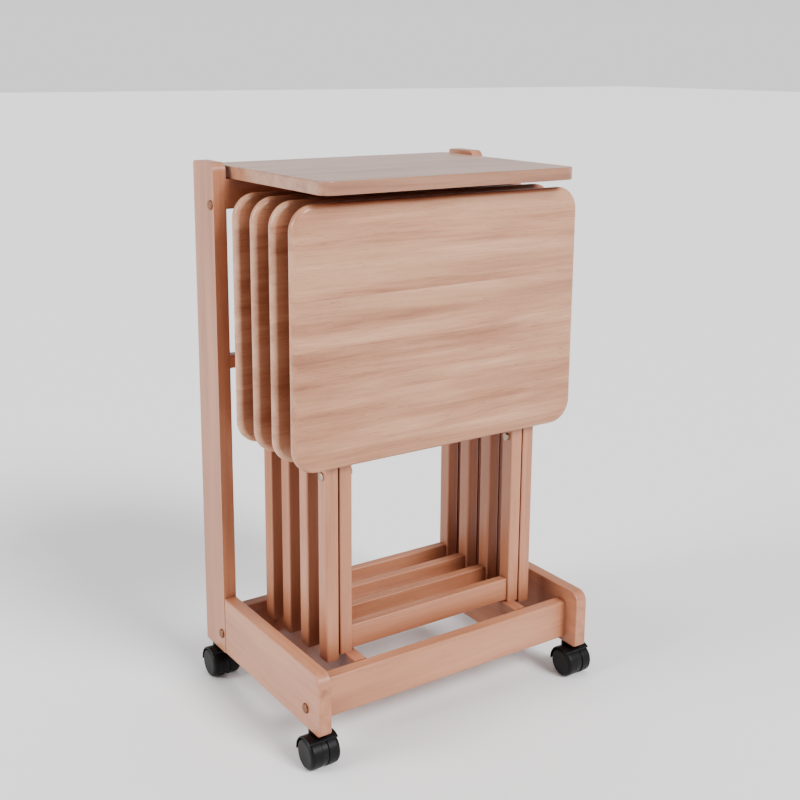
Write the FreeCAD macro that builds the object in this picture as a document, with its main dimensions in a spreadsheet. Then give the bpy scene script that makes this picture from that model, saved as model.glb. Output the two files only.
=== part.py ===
import FreeCAD, Part
import os
import re

# Folding tray tables, four alike, on a rolling wooden stand.
# Millimetres, +Z up, -Y is the front. The origin is on the floor, under the
# middle of the stand. Boards are 20 thick, table legs 20 x 23.

SIZES = {
    "board": 20.0,
    "half_width": 240.0,
    "front_y": -173.0,
    "back_y": 177.0,
    "base_z": 51.0,
    "height": 801.0,
    "side_height": 90.0,
    "post_depth": 65.0,
    "cross_z": 60.0,
    "cross_height": 60.0,
    "front_board_y": -147.0,
    "rail_x": 135.0,
    "upper_rail_z": 735.0,
    "mid_rail_z": 500.0,
    "top_half_width": 212.0,
    "top_front_y": -145.0,
    "top_z": 777.5,
    "top_thick": 18.0,
    "upper_bolt_z": 741.0,
    "lower_bolt_z": 80.0,
    "bolt_bore": 36.0,
    "nut_inset": 29.0,
    "nut_dia": 10.0,
    "pitch": 53.0,
    "leg_y": -88.5,
    "leg_depth": 23.0,
    "leg_width": 20.0,
    "outer_leg_x": 164.0,
    "inner_leg_x": 142.0,
    "outer_foot_z": 114.0,
    "inner_foot_z": 120.0,
    "pivot_z": 387.0,
    "hinge_z": 734.0,
    "bar_z": 725.5,
    "hook_z": 452.15,
    "tray_width": 482.0,
    "tray_height": 360.0,
    "tray_z": 404.0,
    "tray_thick": 16.0,
    "tray_corner": 35.0,
    "tray_gap": 1.0,
    "batten_x": 186.0,
    "batten_z": 470.0,
    "batten_width": 18.0,
    "batten_depth": 22.0,
    "batten_length": 280.0,
    "latch_x": 100.0,
    "latch_width": 25.0,
    "latch_depth": 26.0,
    "latch_height": 13.2,
    "lip_depth": 4.5,
    "lip_height": 28.0,
    "stretcher_z": 122.0,
    "stretcher_depth": 15.0,
    "stretcher_height": 36.0,
    "bolt_dia": 6.0,
    "head_dia": 14.0,
    "head_height": 2.6,
    "rod_dia": 12.0,
    "bar_dia": 16.0,
    "fit": 0.05,
    "stem_dia": 10.0,
    "stem_bore": 22.0,
    "stem_y_front": -143.0,
    "stem_y_back": 158.0,
    "wheel_dia": 45.0,
    "wheel_width": 18.5,
    "wheel_gap": 9.0,
    "trail": 11.5,
}
TABLES = 4

doc = FreeCAD.newDocument("TrayTables")
sheet = doc.addObject("Spreadsheet::Sheet", "Sizes")
for row, (alias, value) in enumerate(SIZES.items(), start=1):
    sheet.set("A%d" % row, alias)
    sheet.set("B%d" % row, str(value))
    sheet.setAlias("B%d" % row, alias)
doc.recompute()

nodes = []


def size(text):
    """Value in millimetres of an expression in the sheet's aliases."""
    holder = doc.getObject("Reader") or doc.addObject("App::FeaturePython", "Reader")
    if not hasattr(holder, "Value"):
        holder.addProperty("App::PropertyFloat", "Value")
    holder.setExpression("Value", bound(text))
    holder.recompute()
    return float(holder.Value)


def bound(text):
    """The expression with each alias written as a cell of the sheet."""
    def cell(match):
        word = match.group(0)
        return "Sizes." + word if word in SIZES else word

    return re.sub(r"[A-Za-z_]+", cell, str(text))


def place(item, position, turn=None):
    """Binds the item's position, after giving it a fixed turn (axis, degrees)."""
    if turn:
        item.Placement = FreeCAD.Placement(
            FreeCAD.Vector(0, 0, 0), FreeCAD.Rotation(FreeCAD.Vector(*turn[0]), turn[1])
        )
    for axis, text in zip("xyz", position):
        item.setExpression("Placement.Base." + axis, bound(text))
    return item


def box(x, y, z, dx, dy, dz):
    """Box from its low corner and its lengths."""
    item = doc.addObject("Part::Box", "Block")
    item.setExpression("Length", bound(dx))
    item.setExpression("Width", bound(dy))
    item.setExpression("Height", bound(dz))
    return place(item, (x, y, z))


def cylinder(x, y, z, radius, length, along="x"):
    """Cylinder from the middle of its low end, along one of the axes."""
    item = doc.addObject("Part::Cylinder", "Round")
    item.setExpression("Radius", bound(radius))
    item.setExpression("Height", bound(length))
    turns = {"x": ((0, 1, 0), 90), "y": ((1, 0, 0), -90), "z": None}
    return place(item, (x, y, z), turns[along])


def cut(base, tools):
    """Base with every tool taken away."""
    for tool in tools:
        item = doc.addObject("Part::Cut", "Cut")
        item.Base = base
        item.Tool = tool
        base = item
    return base


def fuse(items):
    """One solid from pieces that overlap."""
    item = doc.addObject("Part::MultiFuse", "Join")
    item.Shapes = items
    return item


def group(items):
    """Separate solids that share a node."""
    item = doc.addObject("Part::Compound", "Group")
    item.Links = items
    return item


def mirrored(item):
    """The same piece on the other side of the middle plane x = 0."""
    other = doc.addObject("Part::Mirroring", "Mirror")
    other.Source = item
    other.Base = FreeCAD.Vector(0, 0, 0)
    other.Normal = FreeCAD.Vector(1, 0, 0)
    return other


def both(item):
    """The piece and its mirror image, as one node."""
    return group([item, mirrored(item)])


def rounded(base, radius, chosen):
    """Fillet on the edges that the test chooses from (direction, centre)."""
    doc.recompute()
    picked = []
    for index, edge in enumerate(base.Shape.Edges, start=1):
        if chosen(edge):
            picked.append((index, radius, radius))
    item = doc.addObject("Part::Fillet", "Rounding")
    item.Base = base
    item.Edges = picked
    return item


def runs_along(edge, axis):
    """True for a straight edge along the axis."""
    if not isinstance(edge.Curve, Part.Line):
        return False
    return abs(edge.tangentAt(edge.FirstParameter).dot(axis)) > 0.999


X_AXIS = FreeCAD.Vector(1, 0, 0)
Y_AXIS = FreeCAD.Vector(0, 1, 0)
Z_AXIS = FreeCAD.Vector(0, 0, 1)


def soften(base, radius, axis):
    """Small fillet on all edges along one axis."""
    return rounded(base, radius, lambda edge: runs_along(edge, axis))


def node(label, item):
    """Names a finished sub-part."""
    item.Label = label
    nodes.append(item)
    return item


def corners(base, radius, axis, side_test):
    """Large fillet on the chosen corners of a board."""
    return rounded(
        base, radius, lambda edge: runs_along(edge, axis) and side_test(edge.CenterOfMass)
    )


BACK_BOLT_Y = "back_y - post_depth + board / 2"
FRONT_BOLT_Y = "front_board_y + board / 2"


def stand_bolt_places():
    """(y, z) of the bolts through each side of the stand."""
    return [
        (BACK_BOLT_Y, "upper_bolt_z"),
        (BACK_BOLT_Y, "lower_bolt_z"),
        (FRONT_BOLT_Y, "lower_bolt_z"),
    ]


def build_sides():
    """A tall post behind a low side board, left and right."""
    for side, low in (("right", "half_width - board"), ("left", "-half_width")):
        post_y = "back_y - post_depth"
        post = box(low, post_y, "base_z", "board", "post_depth", "height - base_z")
        top = size("height")
        post = corners(post, 12, X_AXIS, lambda c, top=top: c.z > top - 1 and c.y < 150)
        post = corners(post, 5, X_AXIS, lambda c, top=top: c.z > top - 1)
        board = box(low, "front_y", "base_z", "board", "back_y - post_depth - front_y", "side_height")
        front = size("front_y")
        board = corners(board, 16, X_AXIS, lambda c, front=front: c.y < front + 1 and c.z > 100)
        board = corners(board, 6, X_AXIS, lambda c, front=front: c.y < front + 1 and c.z < 100)
        board = soften(board, 2, Z_AXIS)
        for y, z in stand_bolt_places():
            hole = cylinder(low, y, z, "bolt_dia / 2 + 0.2", "board")
            if y == BACK_BOLT_Y:
                post = cut(post, [hole])
            else:
                board = cut(board, [hole])
        for y in ("stem_y_front", "stem_y_back"):
            bore = cylinder("%s + board / 2" % low, y, "base_z", "stem_dia / 2 + fit", "stem_bore", "z")
            if y == "stem_y_back":
                post = cut(post, [bore])
            else:
                board = cut(board, [bore])
        node(side + "_post", post)
        node(side + "_side_board", board)


def cross_board(label, y, z, depth, height, edge_radius, bolted, inset):
    """A board across the stand, between its sides."""
    board = box("board - half_width", y, z, "2 * (half_width - board)", depth, height)
    board = soften(board, edge_radius, X_AXIS)
    for bolt_z in bolted:
        middle = "%s + %s / 2" % (y, depth)
        for low in ("board - half_width", "half_width - board - bolt_bore"):
            board = cut(board, [cylinder(low, middle, bolt_z, "bolt_dia / 2 + 0.2", "bolt_bore")])
        for x in ("board + nut_inset - half_width", "half_width - board - nut_inset"):
            pocket = cylinder(x, "%s + %s" % (y, inset), bolt_z, "nut_dia / 2 + 0.2", "17", "y")
            board = cut(board, [pocket])
    return node(label, board)


def build_cross_boards():
    """Front, back, upper and middle members between the two sides."""
    cross_board("front_board", "front_board_y", "cross_z", "board", "cross_height", 3, ["lower_bolt_z"], 3)
    back = "back_y - post_depth"
    cross_board("back_board", back, "cross_z", "board", "cross_height", 3, ["lower_bolt_z"], 0)
    low = "board - half_width"
    span = "2 * (half_width - board)"
    height = "top_z - upper_rail_z"
    rail = box(low, back, "upper_rail_z", span, "board", height)
    for x in ("board - half_width", "half_width - board - bolt_bore"):
        hole = cylinder(x, BACK_BOLT_Y, "upper_bolt_z", "bolt_dia / 2 + 0.2", "bolt_bore")
        rail = cut(rail, [hole])
    node("upper_rail", rail)
    rail = soften(box(low, back, "mid_rail_z", span, "board", "board"), 3, X_AXIS)
    node("mid_rail", rail)
    floor_y = "front_board_y + board"
    depth = "back_y - post_depth - front_board_y - board"
    for side, x in (("right", "rail_x"), ("left", "-rail_x - board")):
        rail = box(x, floor_y, "cross_z", "board", depth, "cross_height")
        node(side + "_floor_rail", soften(rail, 2, Y_AXIS))


def build_top_board():
    """The small shelf that the tables stand under."""
    depth = "back_y - top_front_y"
    board = box("-top_half_width", "top_front_y", "top_z", "2 * top_half_width", depth, "top_thick")
    board = soften(board, 17, Z_AXIS)
    board = rounded(board, 1.5, lambda edge: abs(edge.tangentAt(edge.FirstParameter).z) < 0.01)
    node("top_board", board)


def build_frame_fasteners():
    """Bolts with low domed heads, and the barrel nuts of the base."""
    bolts = []
    for y, z in stand_bolt_places():
        shank = cylinder("half_width - 51", y, z, "bolt_dia / 2", "51.5")
        head = cylinder("half_width", y, z, "head_dia / 2", "head_height")
        head = rounded(head, 1.4, lambda edge: edge.CenterOfMass.x > 242)
        bolts.append(fuse([shank, head]))
    node("frame_bolts", group(bolts + [mirrored(bolt) for bolt in bolts]))
    nuts = []
    nut_x = "half_width - board - nut_inset"
    for y, bolt_y in (("front_board_y + 3.5", FRONT_BOLT_Y), ("back_y - post_depth + 0.5", BACK_BOLT_Y)):
        nut = cylinder(nut_x, y, "lower_bolt_z", "nut_dia / 2", "16", "y")
        hole = cylinder(nut_x + " - 11", bolt_y, "lower_bolt_z", "bolt_dia / 2 + fit", "22")
        nuts.append(cut(nut, [hole]))
    node("barrel_nuts", group(nuts + [mirrored(nut) for nut in nuts]))


def build_caster(label, x, y):
    """Twin-wheel caster: hood, boss and stem, hidden axle, and two wheels that trail."""
    wheel_y = "%s - trail" % y
    radius = "wheel_dia / 2"
    shell = cylinder("%s - 22.5" % x, wheel_y, radius, "wheel_dia / 2 + 2.8", "45")
    shell = rounded(shell, 1.6, lambda edge: edge.Length > 120)
    front = box("%s - 30" % x, "%s - 40" % wheel_y, "-10", "60", "27", "70")
    below = box("%s - 30" % x, "%s - 40" % wheel_y, "-10", "60", "80", "31")
    hood = cut(shell, [front, below])
    boss = cylinder(x, y, "30", "9", "base_z - 31", "z")
    stem = cylinder(x, y, "base_z - 6", "stem_dia / 2", "stem_bore + 3", "z")
    web = cylinder("%s - wheel_gap / 2 + 0.5" % x, wheel_y, radius, "wheel_dia / 2 - 1.5",
                   "wheel_gap - 1")
    pockets = []
    for low in ("%s + wheel_gap / 2 - 0.5" % x, "%s - wheel_gap / 2 - 29.5" % x):
        pockets.append(cylinder(low, wheel_y, radius, "wheel_dia / 2 + 0.5", "30"))
    bore = cylinder("%s - 30" % x, wheel_y, radius, "3", "60")
    node(label + "_housing", cut(fuse([hood, boss, stem, web]), pockets + [bore]))
    axle_half = "wheel_gap / 2 + 11.5"
    axle = cylinder("%s - %s" % (x, axle_half.replace("+", "-")), wheel_y, radius, "3",
                    "2 * ( %s )" % axle_half)
    node(label + "_axle", axle)
    middle = size(x)
    wheels = []
    for low, hub in (("%s - wheel_gap / 2 - wheel_width" % x, "%s - wheel_gap / 2 - 12" % x),
                     ("%s + wheel_gap / 2" % x, "%s + wheel_gap / 2" % x)):
        wheel = cylinder(low, wheel_y, radius, radius, "wheel_width")
        wheel = rounded(wheel, 6, lambda edge: edge.Length > 100
                        and abs(edge.CenterOfMass.x - middle) > 12)
        wheel = rounded(wheel, 1, lambda edge: edge.Length > 120
                        and abs(edge.CenterOfMass.x - middle) < 6)
        wheels.append(cut(wheel, [cylinder(hub, wheel_y, radius, "3 + fit", "12")]))
    node(label + "_wheels", group(wheels))


def build_casters():
    """A caster under each end of both sides."""
    middle = "half_width - board / 2"
    for side, x in (("right", middle), ("left", "-( %s )" % middle)):
        build_caster("caster_front_" + side, x, "stem_y_front")
        build_caster("caster_back_" + side, x, "stem_y_back")


def build_tray(prefix, shift):
    """The tray board, hanging from its hinge in front of the legs."""
    front = "leg_y - leg_depth / 2 - tray_gap - tray_thick + %s" % shift
    board = box("-tray_width / 2", front, "tray_z", "tray_width", "tray_thick", "tray_height")
    board = soften(board, size("tray_corner"), Y_AXIS)
    doc.recompute()
    board = rounded(board, 7, lambda edge: abs(edge.tangentAt(edge.FirstParameter).y) < 0.01)
    node(prefix + "tray", board)


def build_battens(prefix, shift):
    """Two battens and two hooked latch blocks on the tray's underside."""
    under = "leg_y - leg_depth / 2 - tray_gap + %s" % shift
    batten = box("batten_x", under, "batten_z", "batten_width", "batten_depth", "batten_length")
    batten = soften(batten, 2, Z_AXIS)
    socket = cylinder("batten_x", "leg_y + %s" % shift, "hinge_z", "rod_dia / 2 + 0.3", "10")
    batten = cut(batten, [socket])
    block = box("latch_x", under, "hook_z", "latch_width", "latch_depth", "latch_height")
    lip_y = "%s + latch_depth - lip_depth" % under
    lip = box("latch_x", lip_y, "hook_z", "latch_width", "lip_depth", "lip_height")
    latch = fuse([block, lip])
    node(prefix + "battens", group([batten, mirrored(batten), latch, mirrored(latch)]))


def build_leg(x, foot, top, shift, top_bore):
    """A leg with a round top, a bore there and a bore for the pivot bolt."""
    low_y = "leg_y - leg_depth / 2 + %s" % shift
    middle_y = "leg_y + %s" % shift
    stick = soften(box(x, low_y, foot, "leg_width", "leg_depth", "%s - %s" % (top, foot)), 2.5, Z_AXIS)
    cap = cylinder(x, middle_y, top, "leg_depth / 2", "leg_width")
    pivot = cylinder(x, middle_y, "pivot_z", "bolt_dia / 2 + fit", "leg_width")
    bore = cylinder(x, middle_y, top, top_bore, "leg_width")
    return cut(fuse([stick, cap]), [pivot, bore])


def build_table(number):
    """One folded table: tray, two crossing pairs of legs, pins and crossbar."""
    prefix = "table_%d_" % number
    shift = "%d * pitch" % (number - 1)
    middle_y = "leg_y + %s" % shift
    build_tray(prefix, shift)
    build_battens(prefix, shift)
    outer = build_leg("outer_leg_x", "outer_foot_z", "hinge_z", shift, "rod_dia / 2")
    node(prefix + "outer_legs", both(outer))
    inner = build_leg("inner_leg_x", "inner_foot_z", "bar_z", shift, "bar_dia / 2 + fit")
    node(prefix + "inner_legs", both(inner))
    stretcher_y = "leg_y - leg_depth / 2 + 4 + %s" % shift
    stretcher = box("-inner_leg_x", stretcher_y, "stretcher_z", "2 * inner_leg_x",
                    "stretcher_depth", "stretcher_height")
    node(prefix + "stretcher", soften(stretcher, 2, X_AXIS))
    half = "inner_leg_x + leg_width"
    bar = cylinder("-( %s )" % half, middle_y, "bar_z", "bar_dia / 2", "2 * ( %s )" % half)
    node(prefix + "crossbar", bar)
    pin = cylinder("outer_leg_x - 0.5", middle_y, "hinge_z", "rod_dia / 2", "leg_width + 2")
    node(prefix + "hinge_pins", both(pin))
    shank = cylinder("inner_leg_x - 1", middle_y, "pivot_z", "bolt_dia / 2",
                     "outer_leg_x - inner_leg_x + leg_width + 2")
    head = cylinder("outer_leg_x + leg_width + 0.3", middle_y, "pivot_z", "bolt_dia", "head_height")
    head = rounded(head, 1.6, lambda edge: edge.CenterOfMass.x > 186)
    nut = cylinder("inner_leg_x - 4.3", middle_y, "pivot_z", "5.5", "4")
    node(prefix + "pivot_bolts", both(fuse([shank, head, nut])))


build_sides()
build_cross_boards()
build_top_board()
build_frame_fasteners()
build_casters()
for number in range(1, TABLES + 1):
    build_table(number)
doc.recompute()

faults = [item.Name for item in doc.Objects if {"Invalid", "Error"} & set(item.State)]
for item in nodes:
    if item.Shape.isNull() or not item.Shape.isValid():
        faults.append(item.Label)
if faults:
    raise RuntimeError("failed: " + ", ".join(faults))
os.makedirs("parts", exist_ok=True)
for item in nodes:
    item.Shape.exportStep("parts/%s.step" % item.Label)
print("nodes", len(nodes), "height", size("height"))
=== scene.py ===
import math
import random

import bpy
from mathutils import Matrix, Vector

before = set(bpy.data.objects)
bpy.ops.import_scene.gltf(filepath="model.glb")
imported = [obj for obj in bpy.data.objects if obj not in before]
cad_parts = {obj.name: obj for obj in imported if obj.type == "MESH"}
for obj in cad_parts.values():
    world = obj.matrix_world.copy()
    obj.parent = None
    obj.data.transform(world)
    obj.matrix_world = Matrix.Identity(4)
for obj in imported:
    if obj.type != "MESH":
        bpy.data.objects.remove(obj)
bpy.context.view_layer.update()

WHITE = (1.0, 1.0, 1.0)
BLACK = (0.0, 0.0, 0.0)

# Wood colours, and the tones that set the trays, the shelf and the frame apart
WOOD_LIGHT = (0.540, 0.268, 0.150)
WOOD_MIDDLE = (0.440, 0.188, 0.098)
WOOD_DARK = (0.290, 0.104, 0.046)
TRAY_TONE = (1.15, 1.25, 1.32)
SHELF_TONE = (0.86, 0.86, 0.86)
FRAME_TONE = (0.91, 0.80, 0.76)
# Painted shade: a dark tint laid on the wood colour in crevices and gaps, out to this reach
PAINTED_SHADE_TINT = (0.40, 0.15, 0.07)
PAINTED_SHADE_REACH = 0.09
STAVE_WIDTH = 0.068

FLOOR_REACH = 30
CAMERA_PLACE = (-0.96498, -1.42632, 0.94740)
CAMERA_YAW = math.radians(34.186)
CAMERA_PITCH = math.radians(12.416)
CAMERA_ROLL = math.radians(0.388)
CAMERA_LENS = 53.64
CAMERA_SHIFT = -0.10

# Long grain of the pieces whose grain doesn't run across the stand
GRAIN = {"post": "z", "side_board": "y", "floor_rail": "y", "legs": "z", "battens": "z"}


# Materials

class Nodes:
    """Short calls for building one node tree."""

    def __init__(self, name):
        self.material = bpy.data.materials.new(name)
        self.material.use_nodes = True
        self.tree = self.material.node_tree
        self.shader = self.tree.nodes["Principled BSDF"]

    def add(self, kind, **values):
        node = self.tree.nodes.new("ShaderNode" + kind)
        for key, value in values.items():
            if hasattr(node, key):
                setattr(node, key, value)
            else:
                node.inputs[key.replace("_", " ")].default_value = value
        return node

    def link(self, source, target):
        self.tree.links.new(source, target)

    def math(self, operation, first, second=0):
        node = self.tree.nodes.new("ShaderNodeMath")
        node.operation = operation
        for socket, value in zip(node.inputs, (first, second)):
            if isinstance(value, (int, float)):
                socket.default_value = value
            else:
                self.link(value, socket)
        return node.outputs[0]

    def ramp(self, source, stops):
        node = self.tree.nodes.new("ShaderNodeValToRGB")
        ramp = node.color_ramp
        ramp.elements[0].position = stops[0][0]
        ramp.elements[0].color = (*stops[0][1], 1)
        ramp.elements[1].position = stops[-1][0]
        ramp.elements[1].color = (*stops[-1][1], 1)
        for position, colour in stops[1:-1]:
            ramp.elements.new(position).color = (*colour, 1)
        self.link(source, node.inputs[0])
        return node.outputs[0]

    def mix(self, factor, first, second, blend="MIX"):
        node = self.tree.nodes.new("ShaderNodeMix")
        node.data_type = "RGBA"
        node.blend_type = blend
        if isinstance(factor, (int, float)):
            node.inputs[0].default_value = factor
        else:
            self.link(factor, node.inputs[0])
        for socket, value in ((node.inputs[6], first), (node.inputs[7], second)):
            if isinstance(value, tuple):
                socket.default_value = (*value, 1)
            else:
                self.link(value, socket)
        return node.outputs[2]

    def noise(self, vector, **values):
        node = self.add("TexNoise", **values)
        self.link(vector, node.inputs["Vector"])
        return node.outputs[0]

    def worn_edges(self, low, high, strength):
        """Mask of the outer edges, where a surface is rubbed."""
        geometry = self.add("NewGeometry")
        edge = self.ramp(geometry.outputs["Pointiness"], [(low, BLACK), (high, WHITE)])
        return self.math("MULTIPLY", edge, strength)

    def finish(self, base, roughness, relief, strength, distance):
        """Puts colour, roughness and fine relief on the shader."""
        self.link(base, self.shader.inputs["Base Color"])
        self.link(roughness, self.shader.inputs["Roughness"])
        bump = self.add("Bump", Strength=strength, Distance=distance)
        self.link(relief, bump.inputs["Height"])
        self.link(bump.outputs[0], self.shader.inputs["Normal"])

    def coordinates(self, along, offset):
        """Object coordinates turned so that x runs along the grain."""
        source = self.add("TexCoord").outputs["Object"]
        mapping = self.add("Mapping")
        turns = {"x": (0, 0, 0), "y": (0, 0, -math.pi / 2), "z": (0, math.pi / 2, 0)}
        mapping.inputs["Rotation"].default_value = turns[along]
        mapping.inputs["Location"].default_value = offset
        self.link(source, mapping.inputs["Vector"])
        return mapping.outputs[0]

    def stretch(self, vector, scale):
        mapping = self.add("Mapping")
        mapping.inputs["Scale"].default_value = scale
        self.link(vector, mapping.inputs["Vector"])
        return mapping.outputs[0]


def stave_nodes(n, vector, grain_vector):
    """Grain that jumps from stave to stave, with each stave's chance and its place across."""
    split = n.add("SeparateXYZ")
    n.link(vector, split.inputs[0])
    across = n.math("DIVIDE", split.outputs["Z"], STAVE_WIDTH)
    cell = n.add("CombineXYZ")
    n.link(n.math("FLOOR", across), cell.inputs[0])
    chance = n.add("TexWhiteNoise", noise_dimensions="3D")
    n.link(cell.outputs[0], chance.inputs["Vector"])
    shift = n.add("VectorMath", operation="SCALE", Scale=30.0)
    n.link(chance.outputs["Color"], shift.inputs[0])
    added = n.add("VectorMath", operation="ADD")
    n.link(grain_vector, added.inputs[0])
    n.link(shift.outputs[0], added.inputs[1])
    return added.outputs[0], chance.outputs["Value"], across


def stave_tones(n, base, chance, across):
    """A slightly different tone on each stave, and a thin dark line at the glue joints."""
    step = n.ramp(chance, [(0.0, (0.90, 0.86, 0.83)), (0.5, (0.98, 0.97, 0.96)),
                           (1.0, (1.05, 1.05, 1.05))])
    base = n.mix(0.6, base, step, "MULTIPLY")
    from_middle = n.math("ABSOLUTE", n.math("SUBTRACT", n.math("FRACT", across), 0.5))
    line = n.ramp(from_middle, [(0.4925, WHITE), (0.4985, (0.80, 0.73, 0.67))])
    return n.mix(0.8, base, line, "MULTIPLY")


def wood(name, along, seed, tone, staves=False, coat=0.28):
    """Varnished pale hardwood: long grain, pores, staves of differing tone, rubbed edges, and
    painted shade darkening the crevices.
    """
    n = Nodes(name)
    rng = random.Random(seed)
    offset = tuple(rng.uniform(-9, 9) for _ in range(3))
    vector = n.coordinates(along, offset)
    light, middle, dark = (tuple(c * t for c, t in zip(colour, tone))
                           for colour in (WOOD_LIGHT, WOOD_MIDDLE, WOOD_DARK))
    grain_vector = n.stretch(vector, (1.0, 14, 14))
    if staves:
        grain_vector, chance, across = stave_nodes(n, vector, grain_vector)
    grain = n.noise(grain_vector, Scale=3.2, Detail=6.0, Roughness=0.62, Distortion=0.35)
    base = n.ramp(grain, [(0.30, dark), (0.46, middle), (0.66, light)])
    broad = n.noise(n.stretch(grain_vector, (1.0, 0.42, 0.42)),
                    Scale=1.1, Detail=3.0, Roughness=0.55, Distortion=1.2)
    figure = n.ramp(broad, [(0.36, (0.80, 0.72, 0.66)), (0.50, (0.98, 0.97, 0.96)),
                            (0.66, (1.08, 1.10, 1.12))])
    base = n.mix(0.9, base, figure, "MULTIPLY")
    fine = n.noise(n.stretch(grain_vector, (0.55, 2.6, 2.6)), Scale=16.0, Detail=4.0, Roughness=0.7)
    streak = n.ramp(fine, [(0.36, (0.80, 0.76, 0.72)), (0.56, WHITE)])
    base = n.mix(0.6, base, streak, "MULTIPLY")
    pores = n.noise(n.stretch(vector, (0.9, 14, 14)), Scale=60.0, Detail=2.0, Roughness=0.5)
    pore = n.ramp(pores, [(0.30, (0.60, 0.50, 0.42)), (0.37, WHITE)])
    base = n.mix(0.55, base, pore, "MULTIPLY")
    if staves:
        base = stave_tones(n, base, chance, across)
    rubbed = tuple(min(c * 1.2, 0.9) for c in light)
    base = n.mix(n.worn_edges(0.505, 0.56, 0.30), base, rubbed)
    # Painted shade: ambient occlusion darkens the wood colour in crevices and gaps between parts,
    # standing in for shadow
    painted_shade_ao = n.add("AmbientOcclusion", samples=6)
    painted_shade_ao.inputs["Distance"].default_value = PAINTED_SHADE_REACH
    painted_shade = n.ramp(painted_shade_ao.outputs["AO"], [(0.15, PAINTED_SHADE_TINT), (0.75, WHITE)])
    base = n.mix(0.85, base, painted_shade, "MULTIPLY")
    rough = n.noise(vector, Scale=9.0, Detail=3.0)
    roughness = n.math("ADD", n.math("MULTIPLY", rough, 0.16), 0.30)
    n.finish(base, roughness, fine, 0.10, 0.0006)
    n.shader.inputs["Coat Weight"].default_value = coat
    n.shader.inputs["Coat Roughness"].default_value = 0.22
    n.shader.inputs["IOR"].default_value = 1.48
    return n.material


def plastic(name, colour, low, high):
    """Moulded black plastic: faint mottling, soft gloss, scuffed edges."""
    n = Nodes(name)
    vector = n.coordinates("x", (0, 0, 0))
    spots = n.noise(vector, Scale=140.0, Detail=4.0)
    cloud = n.noise(vector, Scale=22.0, Detail=3.0)
    base = n.ramp(cloud, [(0.3, colour), (0.7, tuple(c * 1.9 for c in colour))])
    base = n.mix(n.worn_edges(0.52, 0.60, 0.12), base, (0.03, 0.03, 0.03))
    roughness = n.math("ADD", n.math("MULTIPLY", cloud, high - low), low)
    n.finish(base, roughness, spots, 0.06, 0.0004)
    n.shader.inputs["Specular IOR Level"].default_value = 0.16
    return n.material


def metal(name, colour, low):
    """Plated metal: turned scratches, uneven gloss, and dull marks."""
    n = Nodes(name)
    vector = n.coordinates("x", (0, 0, 0))
    scratch = n.noise(n.stretch(vector, (6, 1, 1)), Scale=300.0, Detail=3.0)
    cloud = n.noise(vector, Scale=90.0, Detail=4.0)
    base = n.ramp(cloud, [(0.3, tuple(c * 0.6 for c in colour)), (0.62, colour)])
    roughness = n.math("ADD", n.math("MULTIPLY", scratch, 0.25), low)
    n.finish(base, roughness, scratch, 0.12, 0.0002)
    n.shader.inputs["Metallic"].default_value = 1.0
    return n.material


def grain_of(name):
    """Direction of the long grain of a wooden node."""
    for word, along in GRAIN.items():
        if name.endswith(word):
            return along
    return "x"


def dress_nodes():
    """A procedural material on every CAD node, each wooden one cut from its own plank."""
    black = plastic("caster_plastic", (0.0016, 0.0016, 0.0018), 0.30, 0.46)
    tyre = plastic("wheel_plastic", (0.0018, 0.0018, 0.0020), 0.34, 0.52)
    steel = metal("bolt_steel", (0.50, 0.38, 0.29), 0.28)
    bronze = metal("antique_bronze", (0.26, 0.12, 0.07), 0.32)
    for seed, (name, item) in enumerate(sorted(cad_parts.items())):
        if name.endswith("housing"):
            material = black
        elif name.endswith("wheels"):
            material = tyre
        elif name == "frame_bolts":
            material = bronze
        elif name.endswith(("axle", "barrel_nuts", "pivot_bolts")):
            material = steel
        elif name.endswith("tray"):
            material = wood("wood_" + name, "x", seed, TRAY_TONE, staves=True)
        elif name == "top_board":
            material = wood("wood_" + name, "x", seed, SHELF_TONE, coat=0.75)
        else:
            material = wood("wood_" + name, grain_of(name), seed, FRAME_TONE)
        item.data.materials.clear()
        item.data.materials.append(material)


# Stage

def build_floor():
    """A plain pale floor that runs past every view."""
    mesh = bpy.data.meshes.new("floor")
    signs = ((-1, -1), (1, -1), (1, 1), (-1, 1))
    corners = [(x * FLOOR_REACH, y * FLOOR_REACH, 0) for x, y in signs]
    mesh.from_pydata(corners, [], [(0, 1, 2, 3)])
    floor = bpy.data.objects.new("floor", mesh)
    bpy.context.scene.collection.objects.link(floor)
    n = Nodes("floor_paper")
    cloud = n.add("TexNoise", Scale=1.5, Detail=2.0)
    n.link(n.ramp(cloud.outputs[0], [(0.3, (0.92, 0.92, 0.92)), (0.7, (0.94, 0.94, 0.94))]),
           n.shader.inputs["Base Color"])
    n.shader.inputs["Roughness"].default_value = 0.75
    mesh.materials.append(n.material)


def add_sun(name, source, strength, softness):
    """A soft light that comes from the source direction with the same strength everywhere."""
    data = bpy.data.lights.new(name, "SUN")
    data.angle = math.radians(softness)
    data.energy = strength
    item = bpy.data.objects.new(name, data)
    item.rotation_euler = (-Vector(source)).to_track_quat("-Z", "Y").to_euler()
    bpy.context.scene.collection.objects.link(item)


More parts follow.
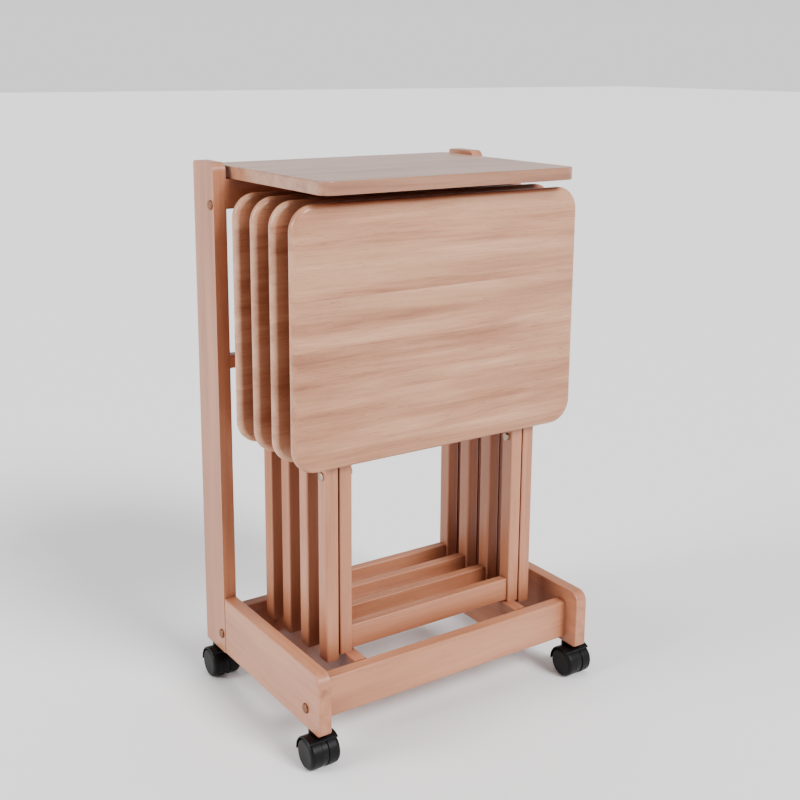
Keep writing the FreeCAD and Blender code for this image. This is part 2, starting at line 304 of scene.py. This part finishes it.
def build_lights():
    """Soft key from the front, a side light from the left, a weak top light, and a pale surround."""
    add_sun("key", (0.28, -1.0, 0.85), 3.9, 22)
    add_sun("side", (-1.0, 0.22, 0.50), 2.7, 30)
    add_sun("top", (0.1, 0.2, 1.0), 1.2, 60)
    world = bpy.data.worlds.new("surround")
    world.use_nodes = True
    tree = world.node_tree
    background = tree.nodes["Background"]
    direction = tree.nodes.new("ShaderNodeTexCoord")
    split = tree.nodes.new("ShaderNodeSeparateXYZ")
    height = tree.nodes.new("ShaderNodeMath")
    height.operation = "ABSOLUTE"
    fade = tree.nodes.new("ShaderNodeValToRGB")
    horizon, zenith = fade.color_ramp.elements
    horizon.position, horizon.color = 0.03, (1.15, 1.15, 1.15, 1)
    zenith.position, zenith.color = 0.45, (0.26, 0.26, 0.27, 1)
    tree.links.new(direction.outputs["Generated"], split.inputs[0])
    tree.links.new(split.outputs["Z"], height.inputs[0])
    tree.links.new(height.outputs[0], fade.inputs[0])
    tree.links.new(fade.outputs[0], background.inputs["Color"])
    bpy.context.scene.world = world


def build_camera():
    """To the front left, a little above the shelf, looking along the yaw and down by the pitch."""
    ahead = Vector((math.sin(CAMERA_YAW), math.cos(CAMERA_YAW), 0))
    forward = ahead * math.cos(CAMERA_PITCH) - Vector((0, 0, math.sin(CAMERA_PITCH)))
    level = Vector((math.cos(CAMERA_YAW), -math.sin(CAMERA_YAW), 0))
    upright = level.cross(forward)
    right = level * math.cos(CAMERA_ROLL) + upright * math.sin(CAMERA_ROLL)
    up = upright * math.cos(CAMERA_ROLL) - level * math.sin(CAMERA_ROLL)
    data = bpy.data.cameras.new("camera")
    data.sensor_width = 36
    data.lens = CAMERA_LENS
    data.shift_y = CAMERA_SHIFT
    item = bpy.data.objects.new("camera", data)
    turn = Matrix((right, up, -forward)).transposed().to_4x4()
    item.matrix_world = Matrix.Translation(CAMERA_PLACE) @ turn
    bpy.context.scene.collection.objects.link(item)
    bpy.context.scene.camera = item


dress_nodes()
build_floor()
build_lights()
build_camera()
